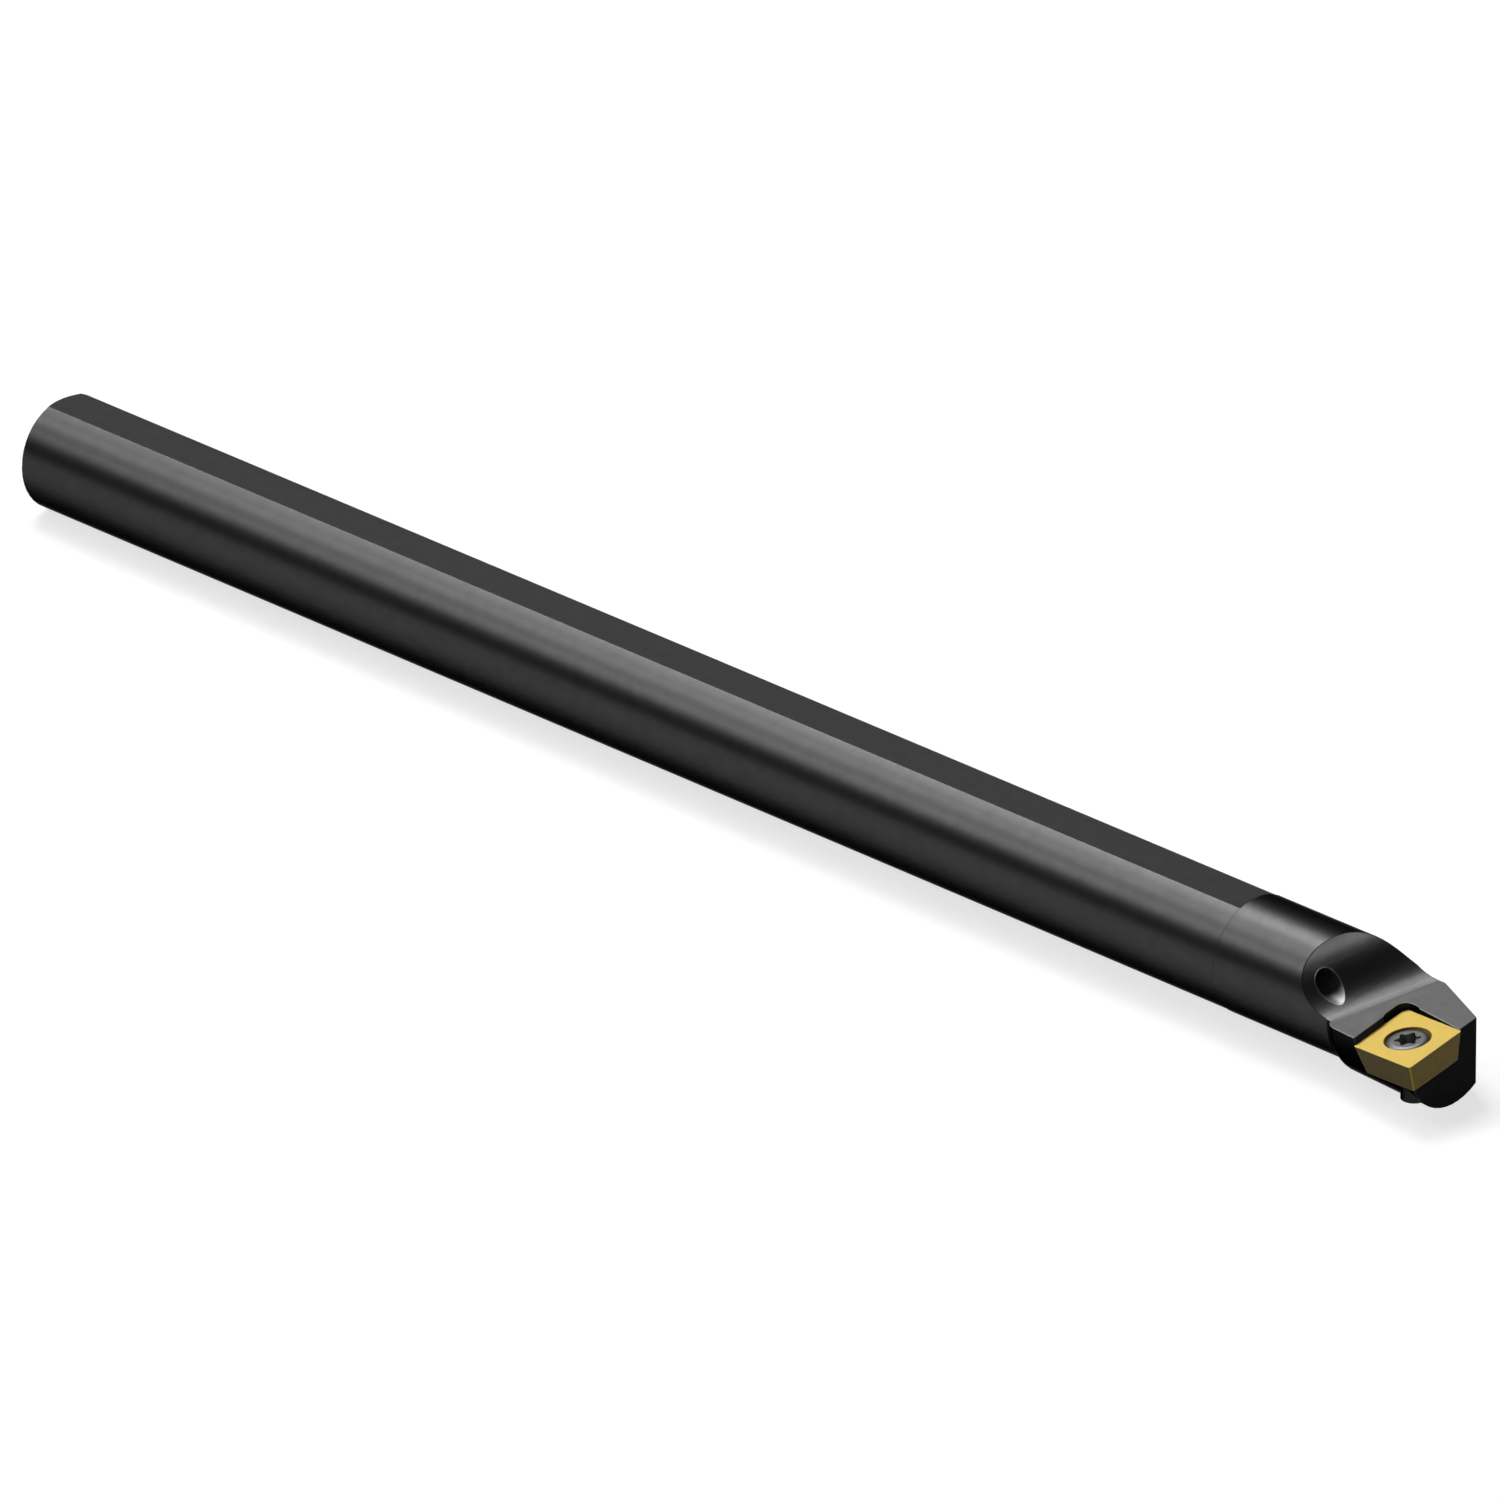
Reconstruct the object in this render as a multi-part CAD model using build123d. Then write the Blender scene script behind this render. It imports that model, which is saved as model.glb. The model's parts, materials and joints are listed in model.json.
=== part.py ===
from build123d import *
import math
import os

# Coolant-through boring bar with a screw-clamped rhombic insert, 3/8 in shank.
# Sizes are in millimetres. The origin is on the bar's axis, at its rear face. +X runs along
# the bar towards the cutting corner, the cutting corner stands out towards -Y, and +Z is up.

# Bar
overall_length = 154.4         # rear face to the cutting corner
head_length = 22.4             # end of the flats to the cutting corner
shank_diameter = 9.525
head_diameter = 9.63
flat_height = 8.84             # over the top and the bottom flat
rear_chamfer = 0.4
coolant_bore_diameter = 4.0
coolant_bore_past_flats = 5.5  # full diameter, measured past the end of the flats
drill_point_angle = 118.0

# Cutting corner and insert
cutting_offset = 6.35          # bar's axis to the cutting corner
lead_angle = 5.0               # side edge to the bar's axis, and front edge to its normal
axial_angle = 5.0              # insert rises towards the tip
radial_angle = 7.5             # insert and head top rise away from the cutting corner
insert_circle = 6.35           # inscribed circle at the top face
insert_thickness = 2.38
insert_corner_angle = 80.0
insert_clearance_angle = 11.0
insert_corner_radius = 0.2
insert_hole_diameter = 2.8
insert_mouth_diameter = 3.75
countersink_angle = 60.0

# Insert screw
screw_head_diameter = 3.45
screw_face_diameter = 2.54     # flat part of the head's top
screw_crown_height = 0.2       # rounded shoulder between the face and the rim
screw_thread_diameter = 2.5
screw_length = 4.6
screw_end_chamfer = 0.25
screw_rim_radius = 0.05
socket_diameter = 2.06         # across the lobes
socket_waist_diameter = 1.48   # between the lobes
socket_flute_radius = 0.43
socket_lobe_radius = 0.1
socket_depth = 1.1

# Head
boss_diameter = 10.6           # eccentric boss that carries the insert
boss_shift = 0.72              # its axis from the bar's axis at the front, towards the corner
boss_rise = 0.07
boss_angle = 3.8               # its axis to the bar's axis, seen from above
boss_length = 9.7              # its rear end to the cutting corner
boss_shoulder_radius = 1.1
front_set_back = 0.34          # front face behind the cutting corner
front_far_edge = 2.14          # far end of the front face from the bar's axis
far_bevel_angle = 22.5
far_flat_to_axis = 4.42        # flat on the far side of the head
far_flat_length = 10.2         # its rear end to the cutting corner
post_diameter = 2.1            # support post under the cutting corner
post_to_corner = 2.2           # its axis from the cutting corner, across the bar
post_depth = 3.76              # below the bar's axis
gullet_radius = 4.85
gullet_set_back = 8.38         # where its axis crosses the bar's axis, behind the corner
gullet_angle = 14.0            # its axis to the bar's normal
outlet_diameter = 2.05
outlet_set_back = 12.3         # where the outlet opens in the gullet, behind the corner
outlet_shift = 2.5             # towards the cutting corner
outlet_rise = 1.68
outlet_angle = 15.0
pocket_corner_radius = 0.2     # between the pocket's walls, no larger than on the insert
relief_diameter = 1.7          # slot that frees the insert's back corner
relief_length = 1.3            # cutter's way along the back wall
relief_lead = 0.35             # cutter's way along the far wall
relief_depth = 0.15            # below the pocket floor

# Fits
pocket_clearance = 0.02
cone_clearance = 0.02
thread_clearance = 0.02
relief_clearance = 0.04        # relief slot to the insert's rounded back corner

# Worked out from the sizes above
flat_length = overall_length - head_length
cutting_corner = Vector(overall_length, -cutting_offset, 0)
past_head = 2 * head_length    # cutting blocks this long end clear of every face of the head


def tangent(degrees):
    return math.tan(math.radians(degrees))


def sine(degrees):
    return math.sin(math.radians(degrees))


def cosine(degrees):
    return math.cos(math.radians(degrees))


half_corner = insert_corner_angle / 2
insert_side = insert_circle / sine(insert_corner_angle)


def insert_plane():
    """Top face of the insert: origin at its centre, x towards the cutting corner."""
    normal = Vector(-tangent(axial_angle), -tangent(radial_angle), 1)
    seat = Plane(cutting_corner, x_dir=(1, 0, tangent(axial_angle)), z_dir=normal)
    turn = lead_angle + half_corner
    half_diagonal = insert_side * cosine(half_corner)
    centre = seat.from_local_coords((-half_diagonal * cosine(turn), half_diagonal * sine(turn), 0))
    return Plane(centre, x_dir=cutting_corner - centre, z_dir=normal)


def head_top_plane():
    """Top of the head: parallel to the bar, flush with the insert at its front far corner."""
    far_corner = insert_plane().from_local_coords((0, insert_side * sine(half_corner), 0))
    height = far_corner.Z - far_corner.Y * tangent(radial_angle)
    return Plane((overall_length, 0, height), x_dir=(1, 0, 0), z_dir=(0, -tangent(radial_angle), 1))


def rhombus(circle, corner_radius):
    """Insert outline round an inscribed circle, with its cutting corners on x."""
    side = circle / sine(insert_corner_angle)
    long_half = side * cosine(half_corner)
    short_half = side * sine(half_corner)
    outline = Polyline((long_half, 0), (0, short_half), (-long_half, 0), (0, -short_half), close=True)
    face = make_face(outline)
    return fillet(face.vertices(), corner_radius)


def cone_depth(wide, narrow, included_angle):
    return (wide - narrow) / 2 / tangent(included_angle / 2)


def make_insert():
    """Positive rhombic insert with flat faces and a countersunk hole."""
    top = rhombus(insert_circle, insert_corner_radius)
    bottom_circle = insert_circle - 2 * insert_thickness * tangent(insert_clearance_angle)
    bottom = Pos(0, 0, -insert_thickness) * rhombus(bottom_circle, insert_corner_radius)
    body = loft([top, bottom], ruled=True)
    hole_radius = insert_hole_diameter / 2
    mouth_radius = insert_mouth_diameter / 2
    sink_depth = cone_depth(insert_mouth_diameter, insert_hole_diameter, countersink_angle)
    hole_section = Polyline(
        (0, 0),
        (mouth_radius, 0),
        (hole_radius, -sink_depth),
        (hole_radius, -insert_thickness),
        (0, -insert_thickness),
        close=True,
    )
    hole = revolve(Plane.XZ * make_face(hole_section), Axis.Z)
    return insert_plane() * (body - hole)


def socket_outline():
    """Six-lobe socket."""
    flute_centre = socket_waist_diameter / 2 + socket_flute_radius
    outline = Circle(socket_diameter / 2)
    outline -= PolarLocations(flute_centre, 6) * Circle(socket_flute_radius)
    return fillet(outline.vertices(), socket_lobe_radius)


def screw_rim_depth():
    """Rim of the screw head below the insert's top face, seated in the countersink."""
    seat_diameter = screw_head_diameter + 2 * cone_clearance / cosine(countersink_angle / 2)
    return cone_depth(insert_mouth_diameter, seat_diameter, countersink_angle)


def make_insert_screw():
    """Countersunk screw, its thread drawn as a plain shank of the nominal diameter."""
    rim = -screw_rim_depth()
    top = rim + screw_crown_height
    face_edge = (screw_face_diameter / 2, top)
    rim_edge = (screw_head_diameter / 2, rim)
    thread_radius = screw_thread_diameter / 2
    neck = rim - cone_depth(screw_head_diameter, screw_thread_diameter, countersink_angle)
    crown = TangentArc(face_edge, rim_edge, tangent=(1, 0))
    rest = Polyline(
        rim_edge,
        (thread_radius, neck),
        (thread_radius, top - screw_length + screw_end_chamfer),
        (thread_radius - screw_end_chamfer, top - screw_length),
        (0, top - screw_length),
        (0, top),
        face_edge,
    )
    section = make_face(crown + rest)
    section = fillet(section.vertices().sort_by(Axis.X)[-1], screw_rim_radius)
    body = revolve(Plane.XZ * section, Axis.Z)
    socket = extrude(Pos(0, 0, top) * socket_outline(), -socket_depth)
    return insert_plane() * (body - socket)


def turned_bar():
    """Round bar with its rear chamfer and the slightly larger head."""
    shank_radius = shank_diameter / 2
    head_radius = head_diameter / 2
    section = Polyline(
        (0, 0),
        (0, shank_radius - rear_chamfer),
        (rear_chamfer, shank_radius),
        (flat_length, shank_radius),
        (flat_length, head_radius),
        (overall_length, head_radius),
        (overall_length, 0),
        close=True,
    )
    return revolve(make_face(section), Axis.X)


def flat_cuts():
    """Material taken off above and below the shank by the two clamping flats."""
    block = Box(flat_length, past_head, past_head, align=(Align.MIN, Align.CENTER, Align.MIN))
    above = Pos(0, 0, flat_height / 2) * block
    return above + mirror(above, Plane.XY)


def boss():
    """Eccentric boss round the insert seat, with a rounded rear shoulder."""
    direction = Vector(cosine(boss_angle), -sine(boss_angle), 0)
    front = Vector(overall_length, -boss_shift, boss_rise)
    axis_plane = Plane(front, x_dir=(0, 0, 1), z_dir=direction)
    solid = axis_plane * Pos(0, 0, -boss_length / 2) * Cylinder(boss_diameter / 2, boss_length)
    rear_edge = solid.edges().filter_by(GeomType.CIRCLE).sort_by(Axis.X)[0]
    return fillet(rear_edge, boss_shoulder_radius)


def front_plane():
    """Vertical front face, parallel to the insert's front edge."""
    normal = Vector(cosine(lead_angle), sine(lead_angle), 0)
    return Plane(cutting_corner - normal * front_set_back, x_dir=(0, 0, 1), z_dir=normal)


def front_x(y):
    """Where the front face lies along the bar, at y across it."""
    origin = front_plane().origin
    return origin.X - (y - origin.Y) * tangent(lead_angle)


def block_beyond(plane):
    """Everything round the head that lies on the z side of a plane."""
    width = 2 * past_head
    return plane * Box(width, width, past_head, align=(Align.CENTER, Align.CENTER, Align.MIN))


def far_side():
    """Material beyond the flat and the vertical bevel on the far side of the head."""
    block = Box(past_head, past_head, past_head, align=(Align.MIN, Align.MIN, Align.CENTER))
    flat = Pos(overall_length - far_flat_length, far_flat_to_axis, 0) * block
    bevel_end = (front_x(front_far_edge), front_far_edge, 0)
    normal = (sine(far_bevel_angle), cosine(far_bevel_angle), 0)
    return flat + block_beyond(Plane(bevel_end, x_dir=(0, 0, 1), z_dir=normal))


def support_post():
    """Vertical post under the cutting corner, tangent to the front face."""
    radius = post_diameter / 2
    y = -cutting_offset + post_to_corner
    x = front_x(y) - radius / cosine(lead_angle)
    post = Cylinder(radius, post_depth, align=(Align.CENTER, Align.CENTER, Align.MIN))
    return Pos(x, y, -post_depth) * post


def gullet():
    """Chip gullet: everything above the head's top, and a round wall tangent to it behind."""
    top = head_top_plane()
    axis = top.x_dir * sine(gullet_angle) + top.y_dir * cosine(gullet_angle)
    origin = top.from_local_coords((-gullet_set_back, 0, 0))
    section_plane = Plane(origin, x_dir=axis.cross(top.z_dir), z_dir=-axis)
    wall = CenterArc((0, gullet_radius), gullet_radius, 180, 90)
    rest = Polyline(
        (0, 0),
        (past_head, 0),
        (past_head, past_head),
        (-gullet_radius, past_head),
        (-gullet_radius, gullet_radius),
    )
    return extrude(section_plane * make_face(wall + rest), past_head, both=True)


def back_corner():
    """Insert's back corner in the insert's plane."""
    return -insert_side * cosine(half_corner)


def pocket():
    """Insert pocket: a floor and two walls that lean back with the insert's flanks."""
    set_in = insert_thickness * tangent(insert_clearance_angle) - pocket_clearance
    corner = back_corner() + set_in / sine(half_corner)
    far_x = corner + past_head * cosine(half_corner)
    far_y = past_head * sine(half_corner)
    floor = Polyline((corner, 0), (far_x, far_y), (far_x, -far_y), close=True)
    face = make_face(floor)
    face = fillet(face.vertices().sort_by(Axis.X)[0], pocket_corner_radius)
    face = Pos(0, 0, -insert_thickness) * face
    height = 2 * insert_thickness
    return insert_plane() * extrude(face, height, taper=-insert_clearance_angle)


def corner_relief():
    """Slot along the pocket's back wall that frees the insert's back corner."""
    rounded_corner = back_corner() + insert_corner_radius * (1 / sine(half_corner) - 1)
    start = Vector(rounded_corner - relief_clearance + relief_diameter / 2, 0)
    along_back = Vector(cosine(half_corner), -sine(half_corner)) * relief_length
    along_far = Vector(cosine(half_corner), sine(half_corner)) * relief_lead
    cutter_way = Polyline(start + along_back, start, start + along_far)
    outline = make_face(offset(cutter_way, relief_diameter / 2, side=Side.BOTH))
    floor = Pos(0, 0, -insert_thickness - relief_depth)
    return insert_plane() * floor * extrude(outline, 2 * insert_thickness)


def screw_hole():
    """Tapped hole through the insert seat, drawn plain at the nominal diameter."""
    radius = screw_thread_diameter / 2 + thread_clearance
    return insert_plane() * Cylinder(radius, past_head)


def coolant_bore():
    """Drilled bore along the bar's axis, with its drill point."""
    radius = coolant_bore_diameter / 2
    full_length = flat_length + coolant_bore_past_flats
    point = radius / tangent(drill_point_angle / 2)
    section = Polyline((0, 0), (0, radius), (full_length, radius), (full_length + point, 0), close=True)
    return revolve(make_face(section), Axis.X)


def coolant_outlet():
    """Drilled outlet from the end of the bore, through the gullet's wall, to the insert."""
    mouth = Vector(overall_length - outlet_set_back, -outlet_shift, outlet_rise)
    direction = Vector(cosine(outlet_angle), -sine(outlet_angle), 0)
    radius = outlet_diameter / 2
    drill = Plane(mouth, x_dir=(0, 0, 1), z_dir=direction)
    bore_end = flat_length + coolant_bore_past_flats
    into_bore = mouth.X - bore_end + coolant_bore_diameter
    inner = Cylinder(radius, into_bore, align=(Align.CENTER, Align.CENTER, Align.MAX))
    outer = Cylinder(radius, gullet_radius, align=(Align.CENTER, Align.CENTER, Align.MIN))
    return drill * (inner + outer)


def make_bar_body():
    """One-piece steel bar: shank, head, insert seat and coolant way."""
    blank = turned_bar() - flat_cuts() + boss() + support_post()
    body = blank - gullet() - block_beyond(front_plane()) - far_side()
    body -= pocket() + corner_relief()
    return body - screw_hole() - coolant_bore() - coolant_outlet()


nodes = {
    "bar_body": make_bar_body,
    "insert": make_insert,
    "insert_screw": make_insert_screw,
}

os.makedirs("parts", exist_ok=True)
for name, make in nodes.items():
    export_step(make(), f"parts/{name}.step")
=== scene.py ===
import json
import math

import bpy
from mathutils import Matrix, Vector

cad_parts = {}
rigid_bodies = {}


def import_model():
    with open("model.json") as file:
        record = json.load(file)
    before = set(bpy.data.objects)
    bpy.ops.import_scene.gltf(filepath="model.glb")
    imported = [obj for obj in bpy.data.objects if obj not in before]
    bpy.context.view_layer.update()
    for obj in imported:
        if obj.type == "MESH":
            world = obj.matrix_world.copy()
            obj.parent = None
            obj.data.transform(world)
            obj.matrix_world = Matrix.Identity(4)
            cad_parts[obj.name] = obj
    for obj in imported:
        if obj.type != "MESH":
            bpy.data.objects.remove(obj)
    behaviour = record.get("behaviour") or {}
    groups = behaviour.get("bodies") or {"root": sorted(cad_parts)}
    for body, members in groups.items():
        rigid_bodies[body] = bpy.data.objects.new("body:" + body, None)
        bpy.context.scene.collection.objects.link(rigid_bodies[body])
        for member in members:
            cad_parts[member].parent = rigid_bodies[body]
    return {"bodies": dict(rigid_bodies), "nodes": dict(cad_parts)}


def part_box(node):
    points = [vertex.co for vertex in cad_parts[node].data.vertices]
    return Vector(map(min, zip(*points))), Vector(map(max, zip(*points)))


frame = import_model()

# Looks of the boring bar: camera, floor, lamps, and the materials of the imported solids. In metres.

# Camera of the photograph: 45 degrees round from the bar and 25 degrees above it, with a long lens
# from far off, because the picture shows almost no perspective
AZIMUTH = math.radians(45)
ELEVATION = math.radians(25)
CAMERA_PLACE = (1.64741, -1.57024, 1.03465)
CAMERA_LENS = 756.62
SENSOR_WIDTH = 36.0
CLIP_NEAR = 0.1
CLIP_FAR = 20.0

# Softboxes: name, way to it, distance, brightness of a white card that faces it, width, beam in degrees
OPEN_BEAM = 180
LAMPS = (
    ("lamp_top", (-0.503, 0.135, 0.853), 2.5, 0.80, 1.20, OPEN_BEAM),
    ("lamp_fill", (-0.641, -0.255, 0.724), 1.2, 0.23, 0.46, 28),
    ("lamp_left", (-0.641, -0.565, 0.520), 0.8, 0.16, 0.28, 28),
    ("lamp_right", (0.85, 0.40, 0.10), 1.0, 0.22, 0.15, OPEN_BEAM),
)
LAMP_AIM = Vector((0.125, 0.0, 0.0))
STUDIO_LEVEL = 0.03

# Floor: its white is a glow for the rays that show it, and its own colour carries the shadow
FLOOR_SIZE = 6.0
FLOOR_GAP = 0.00002
FLOOR_GLOW = 0.72
FLOOR_SHOWN = (0.36, 0.36, 0.36, 1)
FLOOR_BOUNCED = (0.06, 0.06, 0.06, 1)

# Places on the bar, in its own frame
REAR_CHAMFER = 0.0004
FLAT_LEVEL = 0.00442                # of the clamping flats, above and below the axis
HEAD_START = 0.132                  # end of the clamping flats
HEAD_RADIUS = 0.004815
BOSS_START = 0.1441                 # boss on the near side, flat on the far side
BOSS_LOWEST = 0.1492                # where the boss rests on the floor
HEAD_TOP_NORMAL = (0, -0.13, 0.99)
INSERT_NORMAL = (-0.0867, -0.1305, 0.987)
NOSE_NORMAL = (0.68, -0.71, -0.19)
SCREW_PLACE = (0.15057, -0.00295, 0.00007)
SOCKET_RADIUS = 0.00104
OUTLET_PLACE = (0.1421, -0.0025, 0.00168)
OUTLET_WAY = (0.966, -0.259, 0.0)
OUTLET_RADIUS = 0.001025
OUTLET_START = 0.1375

# Reflectance of the bar's surfaces, from its black oxide to the steel that shows through, with painted
# shade on the boss's sides and painted light in the drilled outlet and along the edges
TURNED_TONE = 0.045
MILLED_TONE = 0.12
HEAD_TOP_TONE = 0.17
FLAT_TONE = 0.072
# painted shade: the boss's sides, front face and post are drawn darker because they face away from the
# lamps
BOSS_SIDE_PAINTED_SHADE = 0.015
# bare steel of the drilled outlet, drawn brighter as painted light that stands in for light inside the
# hole
DRILLED_STEEL_AND_PAINTED_LIGHT = 0.48
# edges lighter from rubbed-off oxide and from painted highlight
RUBBED_EDGE_AND_HIGHLIGHT_TONE = 0.16
MOTTLED = (0.94, 1.06)              # factor for the patchiness of the oxide
BLUE_CAST = 1.015                   # factor on the blue of the steels
GLANCING_TONE = 0.1                 # dulls the oxide where it is seen at a low angle

TURNED_ROUGHNESS = 0.34
DISHED_ROUGHNESS = 0.33
FLAT_ROUGHNESS = 0.47
DRILLED_ROUGHNESS = 0.5
ROUGHNESS_STRAY = 0.02

# Gold coating: each colour strays between two
# gold of the top face, also used as painted highlight along the nose
TOP_GOLD_AND_NOSE_HIGHLIGHT = ((0.81, 0.57, 0.125, 1), (0.83, 0.585, 0.14, 1))
# painted shade: a darker copy of the gold for the flanks, which the lamps barely reach
SHADED_FLANK_GOLD = ((0.18, 0.128, 0.027, 1), (0.20, 0.145, 0.032, 1))
# honed edges in a brighter gold: painted highlight along them
HONED_EDGE_HIGHLIGHT_GOLD = (0.88, 0.70, 0.26, 1)
GOLD_METALLIC = 0.02
GOLD_SPECULAR = 0.08
GOLD_ROUGHNESS = (0.46, 0.54)

SCREW_TONES = (0.12, 0.15)
SCREW_EDGE_TONE = 0.26
# painted highlight on the walls of the screw's socket
SOCKET_WALL_HIGHLIGHT = (0.55, 0.54, 0.53, 1)
SCREW_ROUGHNESS = (0.45, 0.53)

# Noise: scale, detail and stretch
OXIDE_MOTTLE = (900, 5)
TURNING_MARKS = (9000, 3, (1, 0.03, 0.03))
GOLD_MOTTLE = (1500, 4)
GRINDING_MARKS = (7000, 3, (1, 1, 0.1))
SCREW_MOTTLE = (2500, 4)
SCREW_GRAIN = (8000, 3)
NOISE_RANGE = (0.3, 0.7)            # what the noise mostly lies between

# Edges: radius of the rounding, and how far the rounded normal leaves the true one (1 not at all)
BAR_EDGE = 0.00008
INSERT_EDGE = 0.00005
SCREW_EDGE = 0.00004
BEVEL_SAMPLES = 6
BAR_EDGE_RANGE = (0.90, 0.995)
FINE_EDGE_RANGE = (0.90, 0.99)
EDGE_WEAR_AND_HIGHLIGHT_SHARE = (0.1, 0.5)              # share of the oxide rubbed off along the edges, which also lightens them as painted highlight
SHOULDER_WIDTH = 0.0002             # the head's low shoulder, which gets no edge wear and no painted highlight

# Depths and strengths of the bumps
TURNING_BUMP = (0.000001, 0.25)
FINE_BUMP = (0.0000008, 0.2)

# A surface faces a direction in full past the second value, and not at all before the first
LEVEL_RANGE = (0.995, 0.999)
HEAD_TOP_RANGE = (0.97, 0.995)
UPWARD_RANGE = (0.4, 0.6)
INSERT_TOP_RANGE = (0.9, 0.97)
NOSE_RANGE = (0.80, 0.90)
SOCKET_WALL_RANGE = (0.9, 0.8)      # reversed: in full where the surface turns away

# Masks fade over a short width at their limits
MASK_WIDTH = 0.0001
HEAD_SKIN = 0.00008                 # the gullet lies at least this far inside the turned head
HEAD_SKIN_WIDTH = 0.00004
OUTLET_MARGIN = 0.00002
OUTLET_WIDTH = 0.00003
SOCKET_WIDTH = 0.00003


def clear_start_scene():
    """Takes out whatever Blender starts with."""
    kept = set(frame["nodes"].values()) | set(frame["bodies"].values())
    for thing in list(bpy.data.objects):
        if thing not in kept:
            bpy.data.objects.remove(thing)


def add_camera():
    data = bpy.data.cameras.new("camera")
    data.lens = CAMERA_LENS
    data.sensor_width = SENSOR_WIDTH
    data.clip_start = CLIP_NEAR
    data.clip_end = CLIP_FAR
    back = Vector((
        math.sin(AZIMUTH) * math.cos(ELEVATION),
        -math.cos(AZIMUTH) * math.cos(ELEVATION),
        math.sin(ELEVATION),
    ))
    right = Vector((math.cos(AZIMUTH), math.sin(AZIMUTH), 0))
    up = back.cross(right)
    turn = Matrix((right, up, back)).transposed().to_4x4()
    camera = bpy.data.objects.new("camera", data)
    camera.matrix_world = Matrix.Translation(CAMERA_PLACE) @ turn
    bpy.context.scene.collection.objects.link(camera)
    bpy.context.scene.camera = camera


def beam_share(beam):
    """How much less power a narrower beam needs for the same brightness at its middle."""
    if beam == OPEN_BEAM:
        return 1.0
    half = math.radians(beam) / 2
    return 2 * (math.tan(half) - half) / math.tan(half)


def add_lamp(name, way, distance, level, width, beam):
    """Round softbox that points at the bar."""
    data = bpy.data.lights.new(name, "AREA")
    data.shape = "DISK"
    data.size = width
    data.spread = math.radians(beam)
    data.energy = level * math.pi ** 2 * distance ** 2 * beam_share(beam)
    lamp = bpy.data.objects.new(name, data)
    away = Vector(way).normalized()
    lamp.location = LAMP_AIM + away * distance
    lamp.rotation_mode = "QUATERNION"
    lamp.rotation_quaternion = away.to_track_quat("Z", "Y")
    bpy.context.scene.collection.objects.link(lamp)


def add_world():
    """Faint white light from all round."""
    world = bpy.data.worlds.new("studio")
    bpy.context.scene.world = world
    world.use_nodes = True
    background = world.node_tree.nodes["Background"]
    background.inputs["Color"].default_value = (1, 1, 1, 1)
    background.inputs["Strength"].default_value = STUDIO_LEVEL


def add_floor():
    """Floor that carries the bar where it rests: under the head's boss and at the rear end."""
    front_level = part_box("bar_body")[0].z - FLOOR_GAP
    rear_level = -FLAT_LEVEL - FLOOR_GAP
    slope = (rear_level - front_level) / (REAR_CHAMFER - BOSS_LOWEST)
    half = FLOOR_SIZE / 2
    corners = [
        (x, y, front_level + slope * (x - BOSS_LOWEST))
        for x, y in ((-half, -half), (half, -half), (half, half), (-half, half))
    ]
    mesh = bpy.data.meshes.new("floor")
    mesh.from_pydata(corners, [], [(0, 1, 2, 3)])
    mesh.materials.append(floor_material())
    floor = bpy.data.objects.new("floor", mesh)
    bpy.context.scene.collection.objects.link(floor)


def node_material(name):
    material = bpy.data.materials.new(name)
    material.use_nodes = True
    return material, material.node_tree


def principled(name):
    material, tree = node_material(name)
    return material, tree, tree.nodes["Principled BSDF"]


def node(tree, kind, **values):
    made = tree.nodes.new(kind)
    for key, value in values.items():
        setattr(made, key, value)
    return made


def feed(tree, value, socket):
    """Gives a socket its value, from another socket or a constant."""
    if isinstance(value, bpy.types.NodeSocket):
        tree.links.new(value, socket)
    else:
        socket.default_value = value


def math_node(tree, operation, first, second=0.0):
    made = node(tree, "ShaderNodeMath", operation=operation)
    feed(tree, first, made.inputs[0])
    feed(tree, second, made.inputs[1])
    return made.outputs[0]


def product(tree, first, second):
    """Product of two values, or where both masks are 1."""
    return math_node(tree, "MULTIPLY", first, second)


def either(tree, first, second):
    return math_node(tree, "MAXIMUM", first, second)


def opposite(tree, mask):
    return math_node(tree, "SUBTRACT", 1.0, mask)


def vector_node(tree, operation, first, second=None):
    made = node(tree, "ShaderNodeVectorMath", operation=operation)
    feed(tree, first, made.inputs[0])
    if second is not None:
        feed(tree, second, made.inputs[1])
    return made


def place(tree):
    """Position in the bar's own coordinates, in metres."""
    return node(tree, "ShaderNodeTexCoord").outputs["Object"]


def noise(tree, scale, detail, stretch=(1, 1, 1)):
    """Noise in the bar's own coordinates."""
    mapping = node(tree, "ShaderNodeMapping")
    feed(tree, stretch, mapping.inputs["Scale"])
    feed(tree, place(tree), mapping.inputs["Vector"])
    made = node(tree, "ShaderNodeTexNoise")
    feed(tree, scale, made.inputs["Scale"])
    feed(tree, detail, made.inputs["Detail"])
    feed(tree, mapping.outputs["Vector"], made.inputs["Vector"])
    return made.outputs["Fac"]


def carry_over(tree, value, from_range, to_range):
    """The value's range carried over to another range, cut off at its ends."""
    ramp = node(tree, "ShaderNodeMapRange")
    feed(tree, value, ramp.inputs["Value"])
    feed(tree, from_range[0], ramp.inputs["From Min"])
    feed(tree, from_range[1], ramp.inputs["From Max"])
    feed(tree, to_range[0], ramp.inputs["To Min"])
    feed(tree, to_range[1], ramp.inputs["To Max"])
    return ramp.outputs["Result"]


def stray(tree, noise_value, to_range=(0.0, 1.0)):
    """Noise carried over to a range."""
    return carry_over(tree, noise_value, NOISE_RANGE, to_range)


def past(tree, value, limit, width=MASK_WIDTH):
    """1 where the value is past the limit."""
    return carry_over(tree, value, (limit, limit + width), (0.0, 1.0))


def mix_values(tree, amount, first, second):
    """Value between two."""
    made = node(tree, "ShaderNodeMix", data_type="FLOAT")
    feed(tree, amount, made.inputs[0])
    feed(tree, first, made.inputs[2])
    feed(tree, second, made.inputs[3])
    return made.outputs[0]


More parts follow.
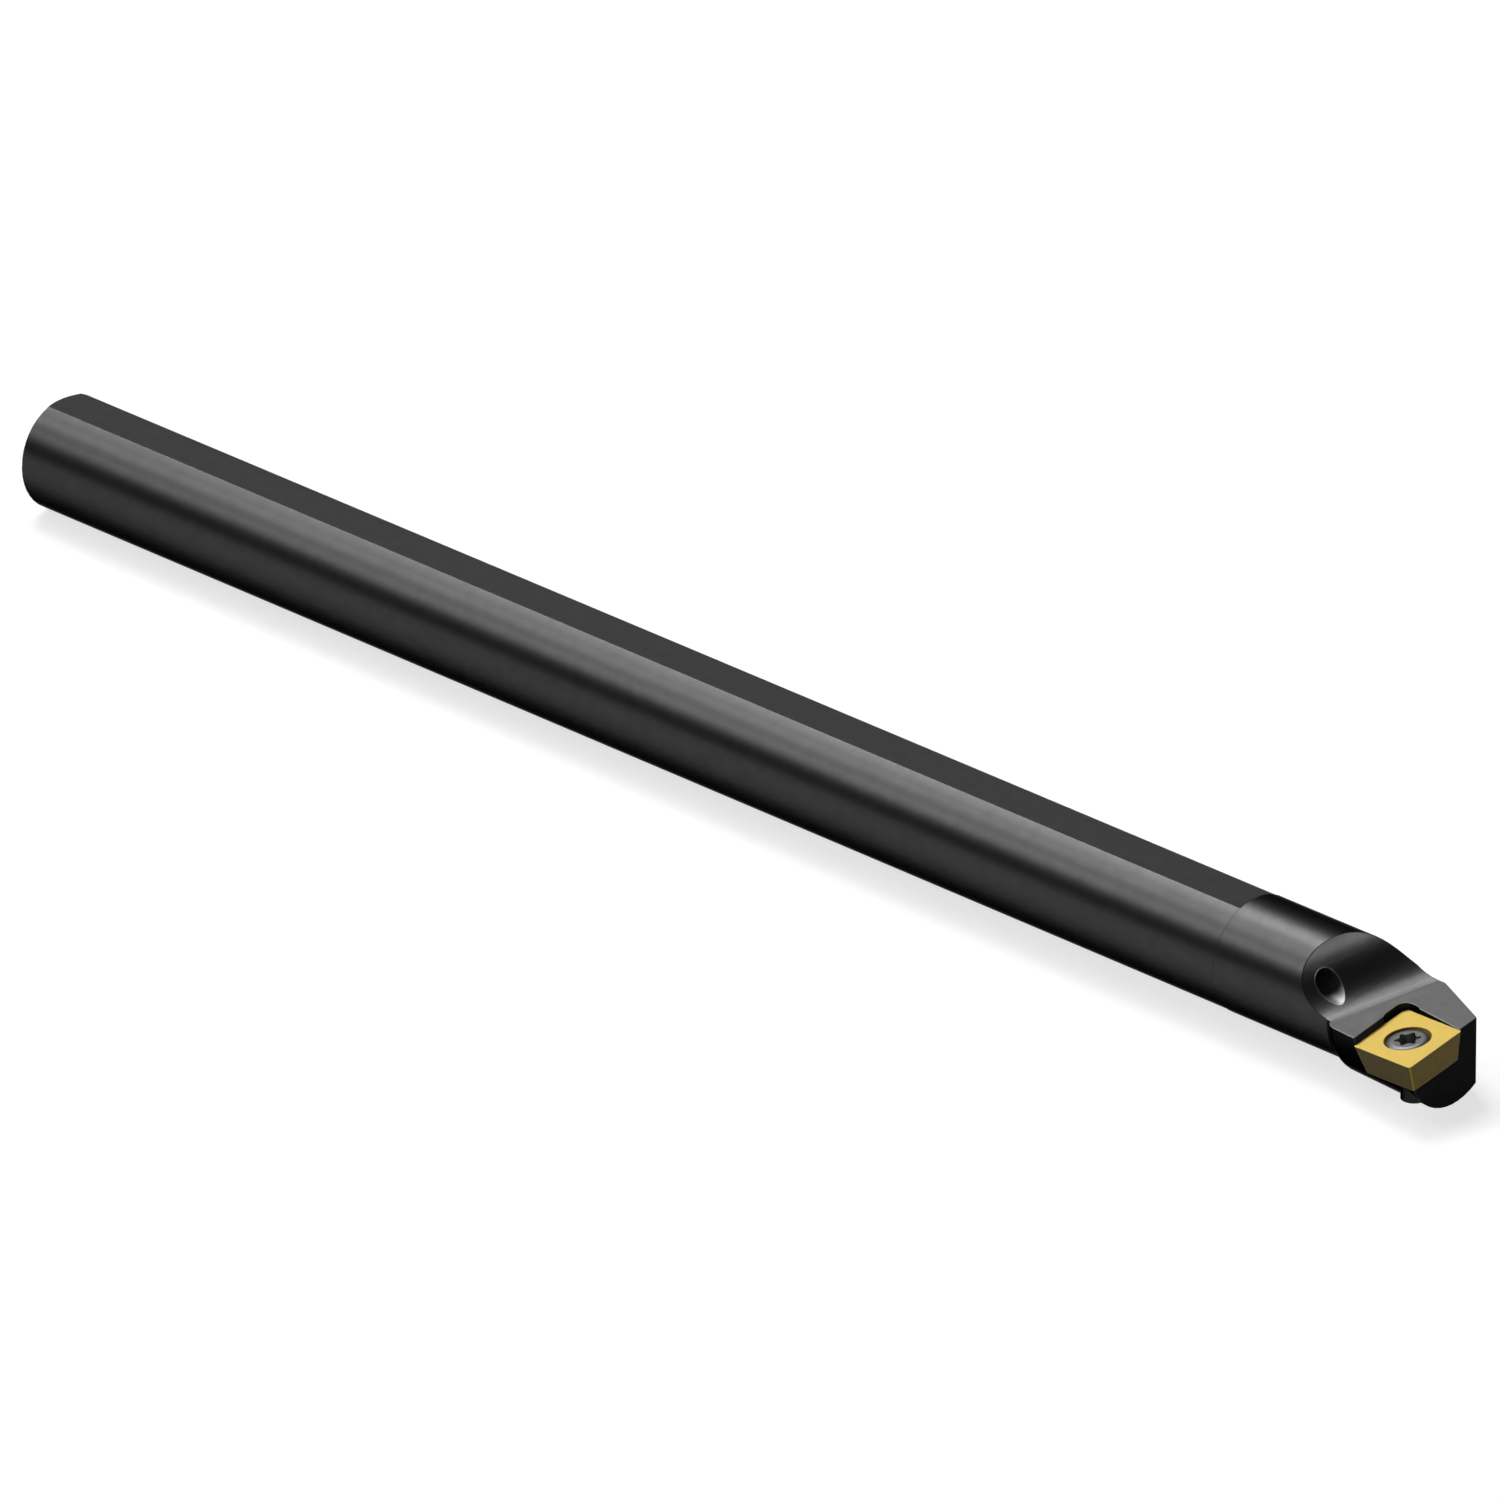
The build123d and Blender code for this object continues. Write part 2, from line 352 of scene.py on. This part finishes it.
def mix_colours(tree, amount, first, second):
    """Colour between two."""
    made = node(tree, "ShaderNodeMix", data_type="RGBA")
    feed(tree, amount, made.inputs[0])
    feed(tree, first, made.inputs[6])
    feed(tree, second, made.inputs[7])
    return made.outputs[2]


def steel_grey(tone):
    return (tone, tone, tone * BLUE_CAST, 1)


def rounded_normal(tree, radius):
    """Normal that turns smoothly over the edges, as on a deburred part."""
    bevel = node(tree, "ShaderNodeBevel", samples=BEVEL_SAMPLES)
    feed(tree, radius, bevel.inputs["Radius"])
    return bevel.outputs["Normal"]


def along_normal(tree, direction):
    """Share of a direction that lies along the surface's true normal."""
    true_normal = node(tree, "ShaderNodeNewGeometry").outputs["True Normal"]
    return vector_node(tree, "DOT_PRODUCT", direction, true_normal).outputs["Value"]


def facing(tree, direction, in_range):
    """1 where the surface faces the direction, 0 where it turns away."""
    return carry_over(tree, along_normal(tree, Vector(direction).normalized()), in_range, (0.0, 1.0))


def edge_mask(tree, soft_normal, in_range):
    """1 along the edges, where the rounded normal leaves the true one."""
    return carry_over(tree, along_normal(tree, soft_normal), in_range, (1.0, 0.0))


def bump(tree, height, depth, strength, base_normal):
    made = node(tree, "ShaderNodeBump")
    feed(tree, depth, made.inputs["Distance"])
    feed(tree, strength, made.inputs["Strength"])
    feed(tree, height, made.inputs["Height"])
    feed(tree, base_normal, made.inputs["Normal"])
    return made.outputs["Normal"]


def distance_to_line(tree, point, direction):
    """Distance from a line through the point."""
    offset = vector_node(tree, "SUBTRACT", place(tree), point).outputs["Vector"]
    across = vector_node(tree, "CROSS_PRODUCT", offset, Vector(direction).normalized()).outputs["Vector"]
    return vector_node(tree, "LENGTH", across).outputs["Value"]


def floor_material():
    """White to camera, glass and mirror rays, and darker to the light that bounces off it."""
    material, tree = node_material("floor")
    tree.nodes.clear()
    path = node(tree, "ShaderNodeLightPath").outputs
    shown = either(tree, path["Is Camera Ray"], path["Is Glossy Ray"])
    shown = either(tree, shown, path["Is Transmission Ray"])
    card = node(tree, "ShaderNodeBsdfDiffuse")
    feed(tree, mix_colours(tree, shown, FLOOR_BOUNCED, FLOOR_SHOWN), card.inputs["Color"])
    glow = node(tree, "ShaderNodeEmission")
    feed(tree, product(tree, shown, FLOOR_GLOW), glow.inputs["Strength"])
    surface = node(tree, "ShaderNodeAddShader")
    feed(tree, card.outputs[0], surface.inputs[0])
    feed(tree, glow.outputs[0], surface.inputs[1])
    out = node(tree, "ShaderNodeOutputMaterial")
    feed(tree, surface.outputs[0], out.inputs["Surface"])
    return material


def bar_surfaces(tree):
    """Masks of the bar's surfaces that were made in different ways."""
    split = node(tree, "ShaderNodeSeparateXYZ")
    feed(tree, place(tree), split.inputs[0])
    x, y, z = split.outputs
    off_axis = math_node(tree, "SQRT", math_node(tree, "ADD", product(tree, y, y), product(tree, z, z)))
    inside_head = opposite(tree, past(tree, off_axis, HEAD_RADIUS - HEAD_SKIN, HEAD_SKIN_WIDTH))
    on_head = past(tree, x, HEAD_START)
    at_boss = past(tree, x, BOSS_START)
    upward = facing(tree, HEAD_TOP_NORMAL, UPWARD_RANGE)
    gullet = product(tree, product(tree, on_head, inside_head), opposite(tree, at_boss))
    milled = either(tree, gullet, product(tree, at_boss, upward))
    head_top = facing(tree, HEAD_TOP_NORMAL, HEAD_TOP_RANGE)
    level = either(tree, facing(tree, (0, 0, 1), LEVEL_RANGE), facing(tree, (0, 0, -1), LEVEL_RANGE))
    off_outlet = distance_to_line(tree, OUTLET_PLACE, OUTLET_WAY)
    in_outlet = opposite(tree, past(tree, off_outlet, OUTLET_RADIUS + OUTLET_MARGIN, OUTLET_WIDTH))
    off_shoulder = math_node(tree, "ABSOLUTE", math_node(tree, "SUBTRACT", x, HEAD_START))
    return {
        "milled": milled,
        "head_top": product(tree, milled, head_top),
        "dished": product(tree, gullet, opposite(tree, head_top)),
        "flats": product(tree, opposite(tree, on_head), level),
        "boss_sides": product(tree, at_boss, opposite(tree, upward)),
        "drilled": product(tree, in_outlet, past(tree, x, OUTLET_START)),
        "off_shoulder": past(tree, off_shoulder, SHOULDER_WIDTH),
    }


def blackened_steel():
    """Black oxide over turned and milled steel, thinner where the coolant outlet is drilled; painted
    shade darkens the boss's sides, painted light brightens the drilled outlet, and the edges are
    lightened by wear and by painted highlight.
    """
    material, tree, shader = principled("blackened_steel_look")
    shader.inputs["Metallic"].default_value = 1.0
    shader.inputs["Specular Tint"].default_value = steel_grey(GLANCING_TONE)
    soft = rounded_normal(tree, BAR_EDGE)
    surfaces = bar_surfaces(tree)
    mottle = noise(tree, *OXIDE_MOTTLE)
    # edges drawn lighter: partly rubbed-off oxide, partly painted highlight
    rubbed_and_highlit = product(tree, edge_mask(tree, soft, BAR_EDGE_RANGE), stray(tree, mottle, EDGE_WEAR_AND_HIGHLIGHT_SHARE))

    tone = mix_values(tree, surfaces["milled"], TURNED_TONE, MILLED_TONE)
    tone = mix_values(tree, surfaces["head_top"], tone, HEAD_TOP_TONE)
    tone = mix_values(tree, surfaces["flats"], tone, FLAT_TONE)
    # painted shade: the sides of the boss that don't face up are drawn darker
    tone = mix_values(tree, surfaces["boss_sides"], tone, BOSS_SIDE_PAINTED_SHADE)
    # painted light in part: the drilled outlet's bare steel is drawn brighter than its shading gives
    tone = mix_values(tree, surfaces["drilled"], tone, DRILLED_STEEL_AND_PAINTED_LIGHT)
    tone = mix_values(tree, product(tree, rubbed_and_highlit, surfaces["off_shoulder"]), tone, RUBBED_EDGE_AND_HIGHLIGHT_TONE)
    tone = product(tree, tone, stray(tree, mottle, MOTTLED))
    colour = node(tree, "ShaderNodeCombineColor")
    feed(tree, tone, colour.inputs["Red"])
    feed(tree, tone, colour.inputs["Green"])
    feed(tree, product(tree, tone, BLUE_CAST), colour.inputs["Blue"])
    feed(tree, colour.outputs[0], shader.inputs["Base Color"])

    marks = noise(tree, *TURNING_MARKS)
    rough = mix_values(tree, surfaces["flats"], TURNED_ROUGHNESS, FLAT_ROUGHNESS)
    rough = mix_values(tree, surfaces["dished"], rough, DISHED_ROUGHNESS)
    rough = mix_values(tree, surfaces["drilled"], rough, DRILLED_ROUGHNESS)
    rough = math_node(tree, "ADD", rough, stray(tree, marks, (-ROUGHNESS_STRAY, ROUGHNESS_STRAY)))
    feed(tree, rough, shader.inputs["Roughness"])
    feed(tree, bump(tree, marks, *TURNING_BUMP, soft), shader.inputs["Normal"])
    return material


def coated_carbide():
    """Gold coating, bright on the top face, which has a grinding finish, with painted shade that darkens
    the flanks, a painted highlight along the nose, and honed edges drawn brighter as painted highlight.
    """
    material, tree, shader = principled("coated_carbide_look")
    shader.inputs["Metallic"].default_value = GOLD_METALLIC
    shader.inputs["Specular IOR Level"].default_value = GOLD_SPECULAR
    soft = rounded_normal(tree, INSERT_EDGE)
    patches = stray(tree, noise(tree, *GOLD_MOTTLE))
    top_and_nose_highlight = either(
        tree,
        facing(tree, INSERT_NORMAL, INSERT_TOP_RANGE),
        # painted highlight: the nose is drawn in the top's bright gold
        facing(tree, NOSE_NORMAL, NOSE_RANGE),
    )
    # painted shade on the flanks
    shaded_flank_gold = mix_colours(tree, patches, *SHADED_FLANK_GOLD)
    top_gold_and_nose_highlight = mix_colours(tree, patches, *TOP_GOLD_AND_NOSE_HIGHLIGHT)
    colour = mix_colours(tree, top_and_nose_highlight, shaded_flank_gold, top_gold_and_nose_highlight)
    # painted highlight along the honed edges
    colour = mix_colours(tree, edge_mask(tree, soft, FINE_EDGE_RANGE), colour, HONED_EDGE_HIGHLIGHT_GOLD)
    feed(tree, colour, shader.inputs["Base Color"])
    marks = noise(tree, *GRINDING_MARKS)
    feed(tree, stray(tree, marks, GOLD_ROUGHNESS), shader.inputs["Roughness"])
    feed(tree, bump(tree, marks, *FINE_BUMP, soft), shader.inputs["Normal"])
    return material


def screw_steel():
    """Dark burnished steel, with a painted highlight on the walls of the socket."""
    material, tree, shader = principled("screw_steel_look")
    shader.inputs["Metallic"].default_value = 1.0
    soft = rounded_normal(tree, SCREW_EDGE)
    patches = stray(tree, noise(tree, *SCREW_MOTTLE))
    darkest, lightest = SCREW_TONES
    colour = mix_colours(tree, patches, steel_grey(darkest), steel_grey(lightest))
    edges = edge_mask(tree, soft, FINE_EDGE_RANGE)
    colour = mix_colours(tree, edges, colour, steel_grey(SCREW_EDGE_TONE))
    off_centre = distance_to_line(tree, SCREW_PLACE, INSERT_NORMAL)
    in_socket = opposite(tree, past(tree, off_centre, SOCKET_RADIUS, SOCKET_WIDTH))
    wall = facing(tree, INSERT_NORMAL, SOCKET_WALL_RANGE)
    # painted highlight: the socket's walls are drawn in a light grey
    colour = mix_colours(tree, product(tree, in_socket, wall), colour, SOCKET_WALL_HIGHLIGHT)
    feed(tree, colour, shader.inputs["Base Color"])
    grain = noise(tree, *SCREW_GRAIN)
    feed(tree, stray(tree, grain, SCREW_ROUGHNESS), shader.inputs["Roughness"])
    feed(tree, bump(tree, grain, *FINE_BUMP, soft), shader.inputs["Normal"])
    return material


def dress(name, material):
    for slot in frame["nodes"][name].material_slots:
        slot.material = material


clear_start_scene()
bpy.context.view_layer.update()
bpy.context.scene.view_settings.view_transform = "Standard"
add_camera()
add_world()
for lamp in LAMPS:
    add_lamp(*lamp)
add_floor()
dress("bar_body", blackened_steel())
dress("insert", coated_carbide())
dress("insert_screw", screw_steel())
